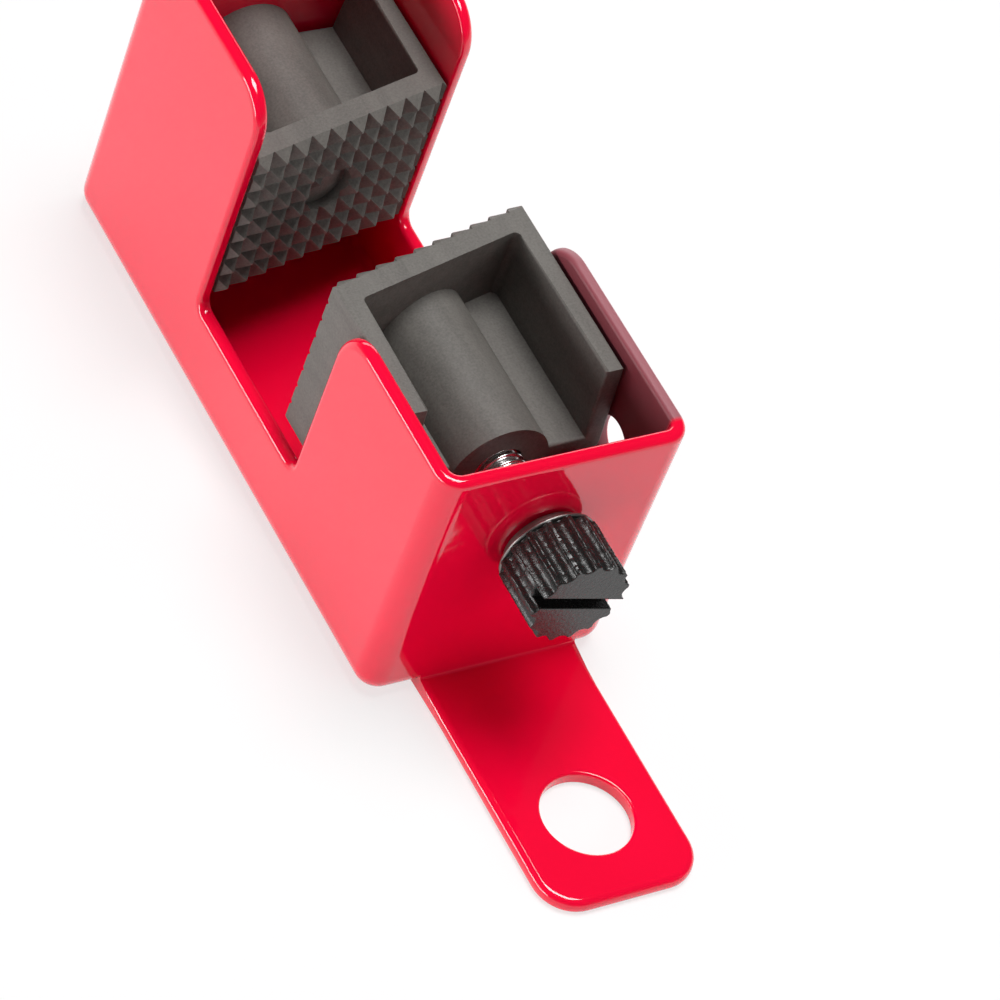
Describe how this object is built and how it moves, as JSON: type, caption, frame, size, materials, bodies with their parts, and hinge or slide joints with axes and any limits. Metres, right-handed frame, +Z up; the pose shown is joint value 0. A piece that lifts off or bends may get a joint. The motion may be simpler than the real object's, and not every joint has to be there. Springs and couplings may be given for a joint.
{
  "type": "circuit breaker lockout clamp",
  "caption": "Pressed steel clamp-on breaker lockout: a captive thumb screw drives a toothed jaw across a skewed notch to a fixed jaw, and a flat tab takes a padlock.",
  "frame": {"origin": "on the surface it stands on, under the middle of the part's box", "axes": "+Y from the padlock tab to the far end, along the screw; +X to the right, seen from the knob; +Z up, out of the box's open top"},
  "size_m": [0.0264, 0.0962, 0.037],
  "materials": {
    "red_powder_coat": "glossy red powder coat on pressed steel sheet",
    "jaw_plastic": "fine-grained dark grey glass-filled plastic",
    "knob_black": "coarse, half-gloss black",
    "bright_steel": "bright zinc-plated steel",
    "insert_brass": "turned brass"
  },
  "bodies": {
    "body": {"clamp_body": "red_powder_coat", "fixed_jaw": "jaw_plastic", "fixed_jaw_insert": "insert_brass", "fixing_screw": "bright_steel", "fixing_washer": "bright_steel"},
    "screw": {"thumb_screw": "bright_steel", "thumb_knob": "knob_black", "knob_washer": "bright_steel", "inner_washer": "bright_steel", "retaining_ring": "bright_steel"},
    "jaw": {"moving_jaw": "jaw_plastic", "moving_jaw_insert": "insert_brass"}
  },
  "joints": [
    {"name": "screw_turn", "type": "hinge", "parent": "body", "child": "screw", "pos_m": [0, -0.01969, 0.02], "axis": [0, -1, 0], "range_deg": [-1755.5, 3600.5]},
    {"name": "jaw_slide", "type": "slide", "parent": "body", "child": "jaw", "axis": [0, 1, 0], "range_m": [-0.0039, 0.008]}
  ],
  "couplings": [
    {"joint": "screw_turn", "follows": "jaw_slide", "rad_per_m": 7854}
  ]
}
